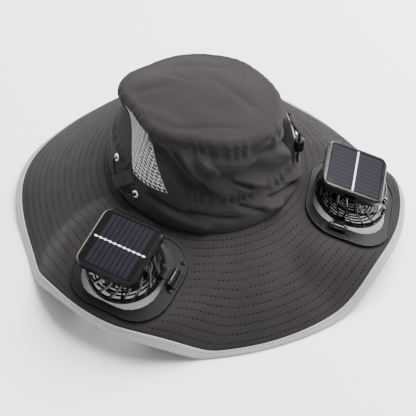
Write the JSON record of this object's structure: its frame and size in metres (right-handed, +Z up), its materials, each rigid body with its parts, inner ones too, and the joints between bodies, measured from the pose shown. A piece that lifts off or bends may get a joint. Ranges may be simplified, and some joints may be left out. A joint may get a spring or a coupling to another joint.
{
  "type": "solar fan hat",
  "caption": "Wide-brimmed sun hat with a soft crown, mesh vents and hinged solar-powered fans set in openings of the quilted brim.",
  "frame": {"origin": "under the middle of the hat's outline, on the surface that the brim's edge rests on", "axes": "+Z up through the crown, front of the hat towards -Y, the wearer's sides along X"},
  "size_m": [0.376, 0.38, 0.1649],
  "materials": {
    "brim_cloth": "quilted grey-brown cloth, matt",
    "crown_cloth": "soft grey-brown cloth, matt",
    "binding_tape": "light grey woven tape",
    "vent_mesh": "light grey knitted mesh",
    "loop_tape": "dark woven tape",
    "cord": "black braided cord",
    "matte_plastic": "black moulded plastic, satin",
    "gloss_plastic": "black moulded plastic, glossy",
    "eyelet_metal": "plated eyelet",
    "solar_cell": "blue-black cells under clear resin"
  },
  "bodies": {
    "root": {"brim": "brim_cloth", "brim_binding": "binding_tape", "crown_band": "crown_cloth", "crown_wall_front": "crown_cloth", "crown_wall_back": "crown_cloth", "crown_cap": "crown_cloth", "mesh_vent_left": "vent_mesh", "mesh_vent_right": "vent_mesh", "fan_plate_left": "matte_plastic", "rivet_left_1": "matte_plastic", "rivet_left_2": "matte_plastic", "rivet_left_3": "matte_plastic", "rivet_left_4": "matte_plastic", "hinge_bracket_left": "matte_plastic", "fan_plate_right": "matte_plastic", "rivet_right_1": "matte_plastic", "rivet_right_2": "matte_plastic", "rivet_right_3": "matte_plastic", "rivet_right_4": "matte_plastic", "hinge_bracket_right": "matte_plastic", "eyelet_left_1": "eyelet_metal", "eyelet_left_2": "eyelet_metal", "draw_cord_left": "cord", "strap_loop_left": "loop_tape", "eyelet_right_1": "eyelet_metal", "eyelet_right_2": "eyelet_metal", "draw_cord_right": "cord", "strap_loop_right": "loop_tape", "cord_lock": "gloss_plastic", "draw_cord_end": "cord"},
    "fan_left": {"fan_cage_left": "gloss_plastic", "panel_housing_left": "gloss_plastic", "solar_cell_left": "solar_cell"},
    "fan_right": {"fan_cage_right": "gloss_plastic", "panel_housing_right": "gloss_plastic", "solar_cell_right": "solar_cell"},
    "rotor_left": {"fan_rotor_left": "gloss_plastic"},
    "rotor_right": {"fan_rotor_right": "gloss_plastic"}
  },
  "joints": [
    {"name": "fan_left_tilt", "type": "hinge", "parent": "root", "child": "fan_left", "pos_m": [-0.08529, -0.12838, 0.05829], "axis": [0.7507, 0.6079, 0.2588], "range_deg": [0, 60]},
    {"name": "rotor_left_spin", "type": "hinge", "parent": "fan_left", "child": "rotor_left", "pos_m": [-0.11431, -0.09483, 0.06365], "axis": [-0.1791, -0.1899, 0.9653], "continuous": true},
    {"name": "fan_right_tilt", "type": "hinge", "parent": "root", "child": "fan_right", "pos_m": [0.08924, -0.13025, 0.05758], "axis": [0.7874, -0.5514, -0.2756], "range_deg": [0, 60]},
    {"name": "rotor_right_spin", "type": "hinge", "parent": "fan_right", "child": "rotor_right", "pos_m": [0.1158, -0.09462, 0.06217], "axis": [0.2157, -0.1724, 0.9611], "continuous": true}
  ]
}
